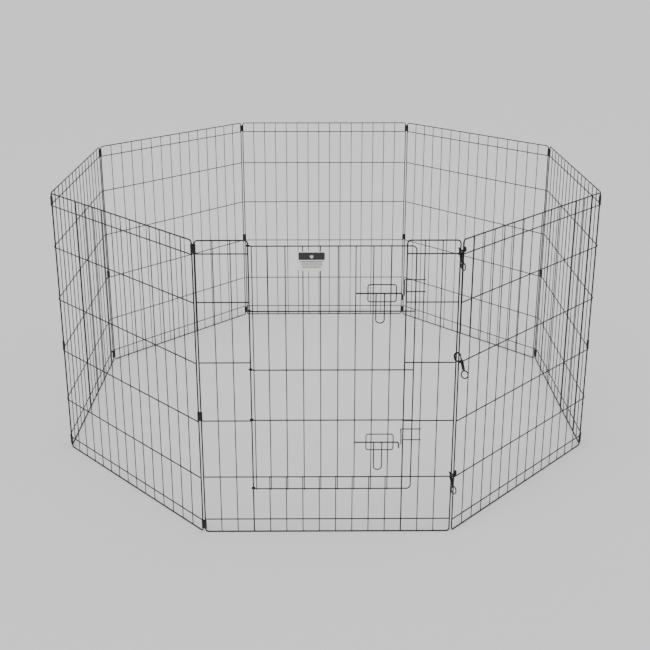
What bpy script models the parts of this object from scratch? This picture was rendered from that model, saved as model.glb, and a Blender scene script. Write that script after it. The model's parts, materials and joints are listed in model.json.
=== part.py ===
"""Eight-panel folding wire playpen with a door, two slide-bolt latches and three bolt snaps.

Frame: metres, +Z up, the floor at Z = 0, the door panel at the front, facing -Y.
The panels are numbered clockwise from above, starting with the door panel.
Each panel is modelled about its right-hand stile, seen from outside: X runs along the panel,
Y points into the pen and Z up. Panels 2 to 4 turn about that stile of their own, in the clips
of the panel before. Panels 8 to 5 turn about that stile of the panel before, each with the
snaps or clips on its own left stile. The two branches meet at the corner opposite the snaps.
"""

from math import cos, pi, radians, sin, tan

import bmesh
import bpy
from mathutils import Matrix, Vector

# --- Driving dimensions, in metres and degrees ---
PANEL_WIDTH = 0.6096
PANEL_HEIGHT = 0.762
PANEL_COUNT = 8
OPEN_CORNER = PANEL_COUNT // 2
UPRIGHT_SPACES = 15
EDGE_SPACING = 0.033
END_SPACING = 0.118
MIDDLE_SPACES = 3
FRAME_WIRE = 0.0034
OPENING_WIRE = 0.0033
CROSS_WIRE = 0.0030
UPRIGHT_WIRE = 0.0024
FITTING_WIRE = 0.0026
FRAME_BEND = 0.008
SPLICE = 0.004
WELD = 0.0004
UPRIGHT_WELD = 0.0003
RUNNING_GAP = 0.0004
WIRE_END = 0.001

STILE_SPACING = 0.0072
CLIP_WALL = 0.0010
CLIP_CLEARANCE = 0.0008

DOOR_SILL_LEVEL = 1
DOOR_CROSS_LEVELS = (4, 3, 2)
DOOR_LEFT_SPACE = 3
DOOR_RIGHT_SPACE = 12
DOOR_LEFT_GAP = 0.0085
DOOR_LAP = 0.021
DOOR_SHIFT = 0.004
DOOR_BEND = 0.010
DOOR_TOP_DROP = 0.0125
DOOR_BOTTOM_DROP = 0.029
DOOR_CROSS_SHIFTS = (-0.020, -0.016, 0.005)
EYE_SWEEP = 265

LATCH_PLACES = ((4, 0.0260), (2, -0.0515))
GUIDE_OVERHANG = 0.0125
GUIDE_HEIGHT = 0.042
GUIDE_BEND = 0.006
GUIDE_BOW = 0.004
GUIDE_BOW_RISE = 0.012
BOLT_WIRE = 0.0034
BOLT_TAIL = 0.0245
BOLT_REACH = 0.0065
BOLT_HOOK = 0.016
BOLT_BEND = 0.005
BOLT_WITHDRAWN = 0.017
HANDLE_WIRE = 0.0028
HANDLE_LENGTH = 0.072
HANDLE_WIDTH = 0.0197
HANDLE_OFFSET = 0.0024
HANDLE_ROUND = 0.9
KEEPER_RISE = 0.029
KEEPER_LEG_GAP = 0.0055
KEEPER_BEND = 0.006
KEEPER_DROP = 0.004
KEEPER_OVERHANG = 0.004

SNAP_LEVELS = {"top": 5, "middle": 3, "bottom": 1}
SNAP_HANDS = {"top": -1, "middle": 1, "bottom": -1}
SNAP_EYE_TURNS = {"top": 90, "middle": 0, "bottom": 25}
SNAP_TILT = 30
SNAP_APEX_RISE = 0.0230
SNAP_WIRE = 0.0036
SNAP_CLEARANCE = 0.00075
SNAP_NECK = ((1.0, 0.6), (0.75, 1.05), (-0.1, 1.3), (-0.7, 1.45))
SNAP_GATE = 0.0093
SNAP_BARREL_RADIUS = 0.0036
SNAP_BARREL_LENGTH = 0.024
SNAP_END_WALL = 0.002
PLUNGER_RADIUS = 0.0018
PLUNGER_LENGTH = 0.0185
PLUNGER_TRAVEL = 0.007
KNOB_RADIUS = 0.0024
KNOB_STEM = 0.001
KNOB_DROP = 0.016
SPRING_WIRE = 0.0005
SPRING_TURNS = 4
STUD_RADIUS = 0.001
STUD_HEAD = 0.0008
COLLAR_RADIUS = 0.0034
COLLAR_LENGTH = 0.0025
SNAP_EYE_RADIUS = 0.009
SNAP_EYE_WIRE = 0.003

TAG_WIDTH = 0.062
TAG_HEIGHT = 0.045
TAG_THICKNESS = 0.0012
TAG_DROP = 0.012
TAG_UPRIGHTS = (6, 7)
TAG_CLIP = 0.0055

# --- Worked out from those ---
HEXAGON = 6
SQUARE = 4
BEND_STEPS = 2
EYE_STEPS = 7


def section(wire, sides):
    """The corner radius of a regular section that holds as much metal as the round wire."""
    return wire / 2 * (2 * pi / (sides * sin(2 * pi / sides))) ** 0.5


FRAME_R = section(FRAME_WIRE, HEXAGON)
OPENING_R = section(OPENING_WIRE, HEXAGON)
CROSS_R = section(CROSS_WIRE, HEXAGON)
UPRIGHT_R = section(UPRIGHT_WIRE, SQUARE)
FITTING_R = section(FITTING_WIRE, HEXAGON)
BOLT_R = section(BOLT_WIRE, HEXAGON)
HANDLE_R = section(HANDLE_WIRE, HEXAGON)
SNAP_R = section(SNAP_WIRE, HEXAGON)

STILE_SPAN = PANEL_WIDTH - FRAME_WIRE
PITCH = STILE_SPAN / UPRIGHT_SPACES
TURN = 360 / PANEL_COUNT
HALF_TURN = TURN / 2

BOTTOM_RAIL = FRAME_R * cos(pi / HEXAGON)
TOP_RAIL = PANEL_HEIGHT - BOTTOM_RAIL
MIDDLE_SPACING = (TOP_RAIL - BOTTOM_RAIL - 2 * (EDGE_SPACING + END_SPACING)) / MIDDLE_SPACES
FIRST_MIDDLE = BOTTOM_RAIL + EDGE_SPACING + END_SPACING
LEVELS = (
    [BOTTOM_RAIL + EDGE_SPACING]
    + [FIRST_MIDDLE + i * MIDDLE_SPACING for i in range(MIDDLE_SPACES + 1)]
    + [TOP_RAIL - EDGE_SPACING]
)
LATCH_HEIGHTS = [LEVELS[k] + rise for k, rise in LATCH_PLACES]

# A hinge clip fills the straight stile between a frame bend and the next cross wire.
CLIP_HEIGHT = EDGE_SPACING - FRAME_BEND - CROSS_R - 2 * CLIP_CLEARANCE

# Depths, in the panel's Y. The cross wires lap the stiles and the uprights lap the cross wires.
CROSS_Y = FRAME_R + CROSS_R - WELD
UPRIGHT_Y = CROSS_Y - (CROSS_R + UPRIGHT_R - UPRIGHT_WELD)
DOOR_Y = -(FRAME_R + RUNNING_GAP + CROSS_R)
DOOR_UPRIGHT_Y = DOOR_Y - (CROSS_R + UPRIGHT_R - WELD)
DOOR_FACE_Y = DOOR_UPRIGHT_Y - UPRIGHT_R
GUIDE_Y = DOOR_UPRIGHT_Y - (UPRIGHT_R + FITTING_R - WELD)
BOLT_Y = DOOR_FACE_Y - RUNNING_GAP - BOLT_R
BOW_Y = BOLT_Y - (BOLT_R + RUNNING_GAP + FITTING_R)
HANDLE_Y = BOLT_Y - (BOLT_R + HANDLE_R - WELD)
KEEPER_Y = FRAME_R + FITTING_R - WELD

# The pen's centre to a panel's stile line, from a 16-sided outline of panels and corner gaps.
APOTHEM = (STILE_SPACING + STILE_SPAN * cos(radians(HALF_TURN))) / (2 * sin(radians(HALF_TURN)))


def upright_x(space):
    """The X of the upright that ends this many spaces, counted from the left stile."""
    return -STILE_SPAN + space * PITCH


def door_upright_x(space):
    return upright_x(space) + DOOR_SHIFT


OPENING_LEFT = upright_x(DOOR_LEFT_SPACE)
OPENING_RIGHT = upright_x(DOOR_RIGHT_SPACE)
DOOR_LEFT = OPENING_LEFT + DOOR_LEFT_GAP
DOOR_RIGHT = OPENING_RIGHT + DOOR_LAP
DOOR_TOP = TOP_RAIL - DOOR_TOP_DROP
DOOR_BOTTOM = LEVELS[DOOR_SILL_LEVEL] - DOOR_BOTTOM_DROP
GUIDE_SPACES = (DOOR_RIGHT_SPACE - 2, DOOR_RIGHT_SPACE - 1)
GUIDE_LEFT = door_upright_x(GUIDE_SPACES[0]) - GUIDE_OVERHANG
GUIDE_RIGHT = door_upright_x(GUIDE_SPACES[1]) + GUIDE_OVERHANG


# --- The scene, its collections and the materials ---
for old in list(bpy.data.objects):
    bpy.data.objects.remove(old, do_unlink=True)

PEN = bpy.data.collections.new("pet_playpen")
CUTTERS = bpy.data.collections.new("cutters")
bpy.context.scene.collection.children.link(PEN)
bpy.context.scene.collection.children.link(CUTTERS)
CUTTERS.hide_render = True


def material(name, colour, roughness, metallic):
    made = bpy.data.materials.new(name)
    made.use_nodes = True
    shader = made.node_tree.nodes["Principled BSDF"]
    shader.inputs["Base Color"].default_value = (*colour, 1)
    shader.inputs["Roughness"].default_value = roughness
    shader.inputs["Metallic"].default_value = metallic
    return made


BLACK_COATING = material("black_coating", (0.012, 0.012, 0.013), 0.38, 0.0)
CLIP_STEEL = material("clip_steel", (0.03, 0.03, 0.032), 0.42, 0.6)
SNAP_METAL = material("snap_metal", (0.02, 0.02, 0.021), 0.35, 0.5)
SPRING_STEEL = material("spring_steel", (0.45, 0.45, 0.46), 0.3, 1.0)
TAG_CARD = material("tag_card", (0.75, 0.75, 0.73), 0.5, 0.0)


# --- Modelling helpers ---
def wire_mesh(runs, radius, sides, closed=False, tilt=0):
    """Wires along straight runs between points, as one mesh with a shell for each run."""
    curve = bpy.data.curves.new("wire", "CURVE")
    curve.dimensions = "3D"
    curve.fill_mode = "FULL"
    curve.bevel_depth = radius
    curve.bevel_resolution = (sides - 4) // 2
    curve.use_fill_caps = not closed
    for run in runs:
        spline = curve.splines.new("POLY")
        spline.points.add(len(run) - 1)
        spline.use_cyclic_u = closed
        for point, place in zip(spline.points, run):
            point.co = (*place, 1)
            point.tilt = radians(tilt)
    guide = bpy.data.objects.new("wire", curve)
    CUTTERS.objects.link(guide)
    bpy.context.view_layer.update()
    graph = bpy.context.evaluated_depsgraph_get()
    mesh = bpy.data.meshes.new_from_object(guide.evaluated_get(graph))
    bpy.data.objects.remove(guide, do_unlink=True)
    bpy.data.curves.remove(curve)
    weld_points(mesh)
    return mesh


def weld_points(mesh):
    form = bmesh.new()
    form.from_mesh(mesh)
    bmesh.ops.remove_doubles(form, verts=form.verts, dist=1e-6)
    bmesh.ops.recalc_face_normals(form, faces=form.faces)
    form.to_mesh(mesh)
    form.free()


def mesh_of(build):
    """A mesh from a function that fills a bmesh."""
    form = bmesh.new()
    build(form)
    mesh = bpy.data.meshes.new("form")
    form.to_mesh(mesh)
    form.free()
    return mesh


def box(size, centre):
    place = Matrix.Translation(centre) @ Matrix.Diagonal((*size, 1))
    return mesh_of(lambda form: bmesh.ops.create_cube(form, size=1, matrix=place))


def rod(radius, start, end, sides=12):
    """A round bar from one point to another."""
    start, end = Vector(start), Vector(end)
    along = end - start
    turn = along.to_track_quat("Z", "X").to_matrix().to_4x4()
    place = Matrix.Translation((start + end) / 2) @ turn
    return mesh_of(
        lambda form: bmesh.ops.create_cone(
            form,
            cap_ends=True,
            segments=sides,
            radius1=radius,
            radius2=radius,
            depth=along.length,
            matrix=place,
        )
    )


def boolean(base, others, operation):
    """The base mesh joined with, or cut by, each of the others."""
    target = bpy.data.objects.new("base", base)
    CUTTERS.objects.link(target)
    helpers = []
    for other in others:
        helper = bpy.data.objects.new("operand", other)
        CUTTERS.objects.link(helper)
        helper.hide_render = True
        helper.display_type = "WIRE"
        helpers.append(helper)
        modifier = target.modifiers.new("join", "BOOLEAN")
        modifier.operation = operation
        modifier.solver = "EXACT"
        modifier.object = helper
    bpy.context.view_layer.update()
    graph = bpy.context.evaluated_depsgraph_get()
    mesh = bpy.data.meshes.new_from_object(target.evaluated_get(graph))
    for helper in [target, *helpers]:
        bpy.data.objects.remove(helper, do_unlink=True)
    weld_points(mesh)
    return mesh


def union(base, *others):
    return boolean(base, others, "UNION")


def cut(base, *others):
    return boolean(base, others, "DIFFERENCE")


def arc(centre, radius, start, end, steps, across=(1, 0, 0), up=(0, 0, 1)):
    """Points on a round bend, in the plane of two directions."""
    centre, across, up = Vector(centre), Vector(across), Vector(up)
    angles = [radians(start + (end - start) * i / steps) for i in range(steps + 1)]
    return [centre + radius * (cos(a) * across + sin(a) * up) for a in angles]


def bend(before, corner, after, radius):
    """The round bend that joins two straight runs at a corner."""
    before, corner, after = Vector(before), Vector(corner), Vector(after)
    back = (before - corner).normalized()
    ahead = (after - corner).normalized()
    half = back.angle(ahead) / 2
    reach = radius / tan(half)
    centre = corner + (back + ahead).normalized() * radius / sin(half)
    first = corner + back * reach - centre
    swing = pi - 2 * half
    normal = first.cross(corner + ahead * reach - centre)
    turns = [Matrix.Rotation(swing * i / BEND_STEPS, 3, normal) for i in range(BEND_STEPS + 1)]
    return [centre + turn @ first for turn in turns]


def rounded_run(points, radius):
    """Straight runs through the points, with each corner turned into a round bend."""
    run = [points[0]]
    for before, corner, after in zip(points, points[1:], points[2:]):
        run += bend(before, corner, after, radius)
    return [*run, points[-1]]


def empty(name, parent, place=(0, 0, 0), turn=(0, 0, 0)):
    made = bpy.data.objects.new(name, None)
    PEN.objects.link(made)
    made.parent = parent
    made.location = place
    made.rotation_euler = [radians(a) for a in turn]
    made.empty_display_size = 0.03
    return made


def piece(name, mesh, look, parent, place=(0, 0, 0), spin=0):
    made = bpy.data.objects.new(name, mesh)
    PEN.objects.link(made)
    made.parent = parent
    made.location = place
    made.rotation_euler.z = radians(spin)
    if not mesh.materials:
        mesh.materials.append(look)
    mesh.shade_smooth()
    mesh.set_sharp_from_angle(angle=radians(50))
    return made


# --- The wire panels ---
def cross_wires(levels, left, right, y):
    return wire_mesh([[(left, y, z), (right, y, z)] for z in levels], CROSS_R, HEXAGON)


def uprights(places, bottom, top, y):
    return wire_mesh([[(x, y, bottom), (x, y, top)] for x in places], UPRIGHT_R, SQUARE)


def plain_panel():
    """A panel with its cross wires outside, clear of its neighbours when the pen folds."""
    corners = [
        (-STILE_SPAN / 2, 0, BOTTOM_RAIL),
        (-STILE_SPAN, 0, BOTTOM_RAIL),
        (-STILE_SPAN, 0, TOP_RAIL),
        (0, 0, TOP_RAIL),
        (0, 0, BOTTOM_RAIL),
        (-STILE_SPAN / 2, 0, BOTTOM_RAIL),
    ]
    frame = wire_mesh([rounded_run(corners, FRAME_BEND)[:-1]], FRAME_R, HEXAGON, closed=True)
    places = [upright_x(k) for k in range(1, UPRIGHT_SPACES)]
    return union(
        frame,
        uprights(places, BOTTOM_RAIL, TOP_RAIL, -UPRIGHT_Y),
        cross_wires(LEVELS, -STILE_SPAN - WIRE_END, WIRE_END, -CROSS_Y),
    )


def keeper(height):
    """The wire catch that a bolt slides behind, as a bent arm and a short lower arm."""
    far = upright_x(DOOR_RIGHT_SPACE + 1) + KEEPER_OVERHANG
    leg = OPENING_RIGHT - KEEPER_LEG_GAP
    arm = [
        (far, KEEPER_Y, height + KEEPER_RISE),
        (leg, KEEPER_Y, height + KEEPER_RISE),
        (leg, BOW_Y, height + KEEPER_RISE - KEEPER_BEND),
        (leg, BOW_Y, height - KEEPER_DROP),
    ]
    lower = [(far, KEEPER_Y, height), (OPENING_RIGHT - WIRE_END, KEEPER_Y, height)]
    return [rounded_run(arm, KEEPER_BEND / 2), lower]


def door_panel():
    """The front panel: two narrow columns joined below the opening, and the two keepers."""
    splice = TOP_RAIL - FRAME_BEND - SPLICE
    outline = [
        (OPENING_LEFT, 0, splice),
        (OPENING_LEFT, 0, TOP_RAIL),
        (-STILE_SPAN, 0, TOP_RAIL),
        (-STILE_SPAN, 0, BOTTOM_RAIL),
        (0, 0, BOTTOM_RAIL),
        (0, 0, TOP_RAIL),
        (OPENING_RIGHT, 0, TOP_RAIL),
        (OPENING_RIGHT, 0, splice),
    ]
    stiles = [[(x, 0, BOTTOM_RAIL), (x, 0, splice + SPLICE / 2)] for x in (OPENING_LEFT, OPENING_RIGHT)]
    columns = [k for k in range(1, UPRIGHT_SPACES) if not DOOR_LEFT_SPACE <= k <= DOOR_RIGHT_SPACE]
    sill_uprights = range(DOOR_LEFT_SPACE + 1, DOOR_RIGHT_SPACE)
    sill_top = LEVELS[DOOR_SILL_LEVEL] + CROSS_R
    upper = LEVELS[DOOR_SILL_LEVEL + 1 :]
    return union(
        wire_mesh([rounded_run(outline, FRAME_BEND)], FRAME_R, HEXAGON, tilt=90),
        wire_mesh(stiles, OPENING_R, HEXAGON, tilt=90),
        uprights([upright_x(k) for k in columns], BOTTOM_RAIL, TOP_RAIL, UPRIGHT_Y),
        uprights([upright_x(k) for k in sill_uprights], BOTTOM_RAIL, sill_top, UPRIGHT_Y),
        cross_wires(LEVELS[: DOOR_SILL_LEVEL + 1], -STILE_SPAN - WIRE_END, WIRE_END, CROSS_Y),
        cross_wires(upper, -STILE_SPAN - WIRE_END, OPENING_LEFT + WIRE_END, CROSS_Y),
        cross_wires(upper, OPENING_RIGHT - WIRE_END, WIRE_END, CROSS_Y),
        *[wire_mesh([run], FITTING_R, HEXAGON) for z in LATCH_HEIGHTS for run in keeper(z)],
    )


# --- Hinge clips ---
def hinge_clip():
    """A crimped strip round two stiles: an eye for each of them, and the web between."""
    inner = FRAME_R + RUNNING_GAP
    outer = inner + CLIP_WALL
    bore = inner / cos(pi / HEXAGON)
    eyes = [(0, 0, 0), (-STILE_SPACING, 0, 0)]
    sleeves = [post(outer, place, CLIP_HEIGHT, 8) for place in eyes]
    web = box((STILE_SPACING, outer, CLIP_HEIGHT), (-STILE_SPACING / 2, 0, 0))
    bores = [post(bore, place, 2 * CLIP_HEIGHT, HEXAGON) for place in eyes]
    return cut(union(*sleeves, web), *bores)


def post(radius, centre, height, sides):
    """An upright bar about its centre."""
    return mesh_of(
        lambda form: bmesh.ops.create_cone(
            form,
            cap_ends=True,
            segments=sides,
            radius1=radius,
            radius2=radius,
            depth=height,
            matrix=Matrix.Translation(centre),
        )
    )


CLIP_MARGIN = CLIP_CLEARANCE + CLIP_HEIGHT / 2
CLIP_HEIGHTS = {
    "top": TOP_RAIL - FRAME_BEND - CLIP_MARGIN,
    "middle": LEVELS[2] + CROSS_R + CLIP_MARGIN,
    "bottom": BOTTOM_RAIL + FRAME_BEND + CLIP_MARGIN,
}


# --- The door ---
def door():
    """The door's grille. Its cross wires run on into eyes that curl round the opening's left stile."""
    hinge = OPENING_LEFT
    frame = [
        (hinge, DOOR_Y, DOOR_TOP),
        (DOOR_RIGHT, DOOR_Y, DOOR_TOP),
        (DOOR_RIGHT, DOOR_Y, DOOR_BOTTOM),
        (hinge, DOOR_Y, DOOR_BOTTOM),
    ]
    rounded = rounded_run(frame, DOOR_BEND)
    outline = eye(DOOR_TOP)[::-1] + rounded[1:-1] + eye(DOOR_BOTTOM)
    crosses = [LEVELS[k] + shift for k, shift in zip(DOOR_CROSS_LEVELS, DOOR_CROSS_SHIFTS)]
    rungs = [eye(z)[::-1] + [(DOOR_RIGHT, DOOR_Y, z)] for z in crosses]
    places = [DOOR_LEFT] + [door_upright_x(k) for k in range(DOOR_LEFT_SPACE + 1, DOOR_RIGHT_SPACE)]
    top, bottom = DOOR_TOP + CROSS_R, DOOR_BOTTOM - CROSS_R
    return union(
        wire_mesh([outline], CROSS_R, HEXAGON),
        wire_mesh(rungs, CROSS_R, HEXAGON),
        uprights(places, bottom, top, DOOR_UPRIGHT_Y),
        *[wire_mesh([guide(z)], FITTING_R, HEXAGON, closed=True) for z in LATCH_HEIGHTS],
    )


def eye(height):
    """From the door's plane round the opening's left stile."""
    return arc((OPENING_LEFT, 0, height), -DOOR_Y, -90, -90 - EYE_SWEEP, EYE_STEPS, up=(0, 1, 0))


def guide(height):
    """The closed wire loop welded over two door uprights; its sides bow out round the bolt."""
    low, high = height - GUIDE_HEIGHT / 2, height + GUIDE_HEIGHT / 2
    corners = [(GUIDE_LEFT, low), (GUIDE_LEFT, high), (GUIDE_RIGHT, high), (GUIDE_RIGHT, low)]
    corners = [(x, GUIDE_Y, z) for x, z in corners]
    low_left, high_left, high_right, low_right = [
        bend(corners[i - 1], corners[i], corners[(i + 1) % 4], GUIDE_BEND) for i in range(4)
    ]
    bow = [(GUIDE_Y, -GUIDE_BOW_RISE), (BOW_Y, -GUIDE_BOW), (BOW_Y, GUIDE_BOW), (GUIDE_Y, GUIDE_BOW_RISE)]
    up_left = [(GUIDE_LEFT, y, height + z) for y, z in bow]
    down_right = [(GUIDE_RIGHT, y, height + z) for y, z in reversed(bow)]
    return low_left + up_left + high_left + high_right + down_right + low_right


def latch_bolt():
    """A bolt at its withdrawn place, with its turned-down tip and the long pull loop welded on."""
    tip = OPENING_RIGHT + BOLT_REACH - BOLT_WITHDRAWN
    tail = door_upright_x(GUIDE_SPACES[0]) - BOLT_TAIL - BOLT_WITHDRAWN
    right = door_upright_x(GUIDE_SPACES[1]) + HANDLE_OFFSET - BOLT_WITHDRAWN
    left = right - HANDLE_WIDTH
    shank = [(tail, 0, 0), (tip, 0, 0), (tip, 0, -BOLT_HOOK)]
    y = HANDLE_Y - BOLT_Y
    loop = [(left, y, WELD), (left, y, -HANDLE_LENGTH), (right, y, -HANDLE_LENGTH), (right, y, WELD)]
    return union(
        wire_mesh([rounded_run(shank, BOLT_BEND)], BOLT_R, HEXAGON),
        wire_mesh([rounded_run(loop, HANDLE_ROUND * HANDLE_WIDTH / 2)], HANDLE_R, HEXAGON, tilt=90),
    )


# --- Bolt snaps. Their own frame: X across, Z up the snap, Y towards the pen, origin in the hook ---
SNAP_HOOK_RADIUS = STILE_SPACING / 2 + FRAME_R + SNAP_CLEARANCE + SNAP_R
SNAP_APEX_INSET = FRAME_R + SNAP_CLEARANCE + SNAP_R
BARREL_TOP = -SNAP_GATE
BARREL_END = BARREL_TOP - SNAP_BARREL_LENGTH
TIP_Z = -0.0012
PLUNGER_TOP = TIP_Z - RUNNING_GAP
PLUNGER_END = PLUNGER_TOP - PLUNGER_LENGTH
KNOB_Z = PLUNGER_TOP - KNOB_DROP
BORE_RADIUS = PLUNGER_RADIUS + RUNNING_GAP
BORE_END = BARREL_END + SNAP_END_WALL
STUD_TOP = BORE_END + RUNNING_GAP + STUD_HEAD
SPRING_END = PLUNGER_END - PLUNGER_TRAVEL - RUNNING_GAP


def snap_body(hand):
    """The hook and the slotted barrel. The gate is on the side that hand names: -1 left, +1 right."""
    gate, back = hand * SNAP_HOOK_RADIUS, -hand * SNAP_HOOK_RADIUS
    first, last = (0, 180) if hand < 0 else (180, 0)
    bow = arc((0, 0, 0), SNAP_HOOK_RADIUS, last, first, 8)
    neck = [(back * across, 0, BARREL_TOP * down) for across, down in SNAP_NECK]
    hook = [(gate, 0, TIP_Z), *bow, *neck]
    barrel = rod(SNAP_BARREL_RADIUS, (gate, 0, BARREL_TOP), (gate, 0, BARREL_END))
    bore = rod(BORE_RADIUS, (gate, 0, 0), (gate, 0, BORE_END), 8)
    stud_bore = STUD_RADIUS + RUNNING_GAP
    stud_hole = rod(stud_bore, (gate, 0, BORE_END + STUD_RADIUS), (gate, 0, 2 * BARREL_END), 8)
    slot_width = 2 * (KNOB_STEM + RUNNING_GAP)
    slot_top = KNOB_Z + KNOB_STEM + RUNNING_GAP
    slot_low = KNOB_Z - PLUNGER_TRAVEL - KNOB_STEM - RUNNING_GAP
    slot_size = (slot_width, 2 * SNAP_BARREL_RADIUS, slot_top - slot_low)
    slot = box(slot_size, (gate, -SNAP_BARREL_RADIUS, (slot_top + slot_low) / 2))
    wire = wire_mesh([hook], SNAP_R, HEXAGON, tilt=30)
    return cut(union(barrel, wire), bore, stud_hole, slot)


def snap_plunger():
    """The sprung pin that closes the hook, with its thumb knob."""
    knob_face = -SNAP_BARREL_RADIUS - RUNNING_GAP
    stem = rod(KNOB_STEM, (0, 0, KNOB_Z), (0, knob_face - KNOB_STEM, KNOB_Z), 8)
    knob = rod(KNOB_RADIUS, (0, knob_face, KNOB_Z), (0, knob_face - KNOB_RADIUS, KNOB_Z), 10)
    return union(rod(PLUNGER_RADIUS, (0, 0, PLUNGER_TOP), (0, 0, PLUNGER_END), 10), stem, knob)


def snap_spring():
    """The plunger's coil spring, at its fully pressed length."""
    radius = BORE_RADIUS - RUNNING_GAP - SPRING_WIRE / 2
    low = STUD_TOP + RUNNING_GAP + SPRING_WIRE / 2
    high = SPRING_END - SPRING_WIRE / 2
    steps = 5 * SPRING_TURNS
    shares = [i / steps for i in range(steps + 1)]
    turns = [(2 * pi * SPRING_TURNS * share, low + (high - low) * share) for share in shares]
    coil = [(radius * cos(a), radius * sin(a), z) for a, z in turns]
    return wire_mesh([coil], SPRING_WIRE / 2, SQUARE)


def snap_eye():
    """The swivelling eye: a ring on a collar, held by a stud whose head turns inside the barrel."""
    collar_top = BARREL_END - RUNNING_GAP
    collar_end = collar_top - COLLAR_LENGTH
    ring_z = collar_end - SNAP_EYE_RADIUS
    ring = arc((0, 0, ring_z), SNAP_EYE_RADIUS, 0, 330, 11)
    return union(
        rod(COLLAR_RADIUS, (0, 0, collar_top), (0, 0, collar_end), 10),
        wire_mesh([ring], section(SNAP_EYE_WIRE, HEXAGON), HEXAGON, closed=True),
        rod(STUD_RADIUS, (0, 0, STUD_TOP - STUD_HEAD / 2), (0, 0, collar_end + COLLAR_LENGTH / 2), 8),
        rod(BORE_RADIUS - RUNNING_GAP, (0, 0, STUD_TOP), (0, 0, STUD_TOP - STUD_HEAD), 8),
    )


# --- The care tag ---
def info_tag():
    """A plate in front of two door uprights, with a moulded clip on each."""
    places = [door_upright_x(k) for k in TAG_UPRIGHTS]
    plate_y = DOOR_FACE_Y - RUNNING_GAP - TAG_THICKNESS / 2
    middle = sum(places) / len(places)
    height = DOOR_TOP - TAG_DROP - TAG_HEIGHT / 2
    plate = box((TAG_WIDTH, TAG_THICKNESS, TAG_HEIGHT), (middle, plate_y, height))
    depth = UPRIGHT_R + RUNNING_GAP + TAG_THICKNESS / 2
    clip_size = (TAG_CLIP, depth, TAG_CLIP)
    low, high = height - TAG_CLIP, height + TAG_CLIP
    bore = UPRIGHT_R + RUNNING_GAP
    blocks = [box(clip_size, (x, plate_y + depth / 2, height)) for x in places]
    slots = [rod(bore, (x, DOOR_UPRIGHT_Y, low), (x, DOOR_UPRIGHT_Y, high), 8) for x in places]
    return cut(union(plate, *blocks), *slots)


# --- The assembly ---
def corner_clips(corner, clip, link, shift):
    """The clips of one corner, numbered by the panel on its right-hand side."""
    for where, height in CLIP_HEIGHTS.items():
        piece(f"hinge_clip_{corner}_{where}", clip, CLIP_STEEL, link, (shift, 0, height))


def panels_to_the_left(root, plain, clip):
    """Each panel turns about its own right stile, in the clips of the panel before it."""
    before = root
    for corner in range(1, OPEN_CORNER + 1):
        link = empty(f"corner_{corner}", before, (-STILE_SPAN, 0, 0), (0, 0, -HALF_TURN))
        corner_clips(corner, clip, link, 0)
        if corner < OPEN_CORNER:
            name = f"panel_{corner + 1}"
            before = empty(f"{name}_axis", link, (-STILE_SPACING, 0, 0), (0, 0, -HALF_TURN))
            piece(name, plain, BLACK_COATING, before)


def panels_to_the_right(root, plain, clip):
    """Each panel, with the snaps or clips at its left, turns about the stile of the one before."""
    before, place = root, (0, 0, 0)
    for number in range(PANEL_COUNT, OPEN_CORNER, -1):
        axis = empty(f"panel_{number}_axis", before, place, (0, 0, HALF_TURN))
        if number == PANEL_COUNT:
            snaps(axis)
        else:
            corner_clips(number, clip, axis, STILE_SPACING)
        before = empty(f"panel_{number}_start", axis, (STILE_SPACING, 0, 0), (0, 0, HALF_TURN))
        place = (STILE_SPAN, 0, 0)
        piece(f"panel_{number}", plain, BLACK_COATING, before, place)


def snaps(axis):
    plunger, spring, ring = snap_plunger(), snap_spring(), snap_eye()
    drop = SNAP_HOOK_RADIUS * cos(radians(SNAP_TILT))
    inset = SNAP_APEX_INSET - SNAP_HOOK_RADIUS * sin(radians(SNAP_TILT))
    for name, hand in SNAP_HANDS.items():
        height = LEVELS[SNAP_LEVELS[name]] + SNAP_APEX_RISE - drop
        place = (STILE_SPACING / 2, inset, height)
        hook = empty(f"snap_{name}_hook", axis, place, (-SNAP_TILT, 0, 0))
        gate = empty(f"snap_{name}_gate", hook, (hand * SNAP_HOOK_RADIUS, 0, 0))
        piece(f"snap_{name}_body", snap_body(hand), SNAP_METAL, hook)
        piece(f"snap_{name}_plunger", plunger, SNAP_METAL, gate)
        piece(f"snap_{name}_spring", spring, SPRING_STEEL, gate)
        piece(f"snap_{name}_eye", ring, SNAP_METAL, gate, spin=SNAP_EYE_TURNS[name])


def door_and_latches(root):
    """The door about the opening's left stile, with its tag and its two bolts."""
    door_axis = empty("door_axis", root, (OPENING_LEFT, 0, 0))
    piece("door", door(), BLACK_COATING, door_axis, (-OPENING_LEFT, 0, 0))
    piece("info_tag", info_tag(), TAG_CARD, door_axis, (-OPENING_LEFT, 0, 0))
    bolt = latch_bolt()
    for name, height in zip(("upper", "lower"), LATCH_HEIGHTS):
        slide = empty(f"latch_{name}_axis", door_axis, (-OPENING_LEFT, BOLT_Y, height))
        piece(f"latch_bolt_{name}", bolt, BLACK_COATING, slide)


def build():
    root = empty("pen", None, (STILE_SPAN / 2, -APOTHEM, 0))
    piece("door_panel", door_panel(), BLACK_COATING, root)
    plain, clip = plain_panel(), hinge_clip()
    panels_to_the_left(root, plain, clip)
    panels_to_the_right(root, plain, clip)
    door_and_latches(root)
    centre_on_origin(root)


def centre_on_origin(root):
    """Moves the whole pen so that the middle of its box stands over the origin."""
    bpy.context.view_layer.update()
    solids = [made for made in PEN.objects if made.type == "MESH"]
    points = [made.matrix_world @ v.co for made in solids for v in made.data.vertices]
    for axis in (0, 1):
        places = [point[axis] for point in points]
        root.location[axis] -= (min(places) + max(places)) / 2


build()
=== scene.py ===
"""Looks of the folding wire playpen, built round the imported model.

Each panel is made about its right-hand stile, seen from outside: X runs along the panel to the
right, Y points into the pen and Z up. panel_place() puts it round the ring.
"""

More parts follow.
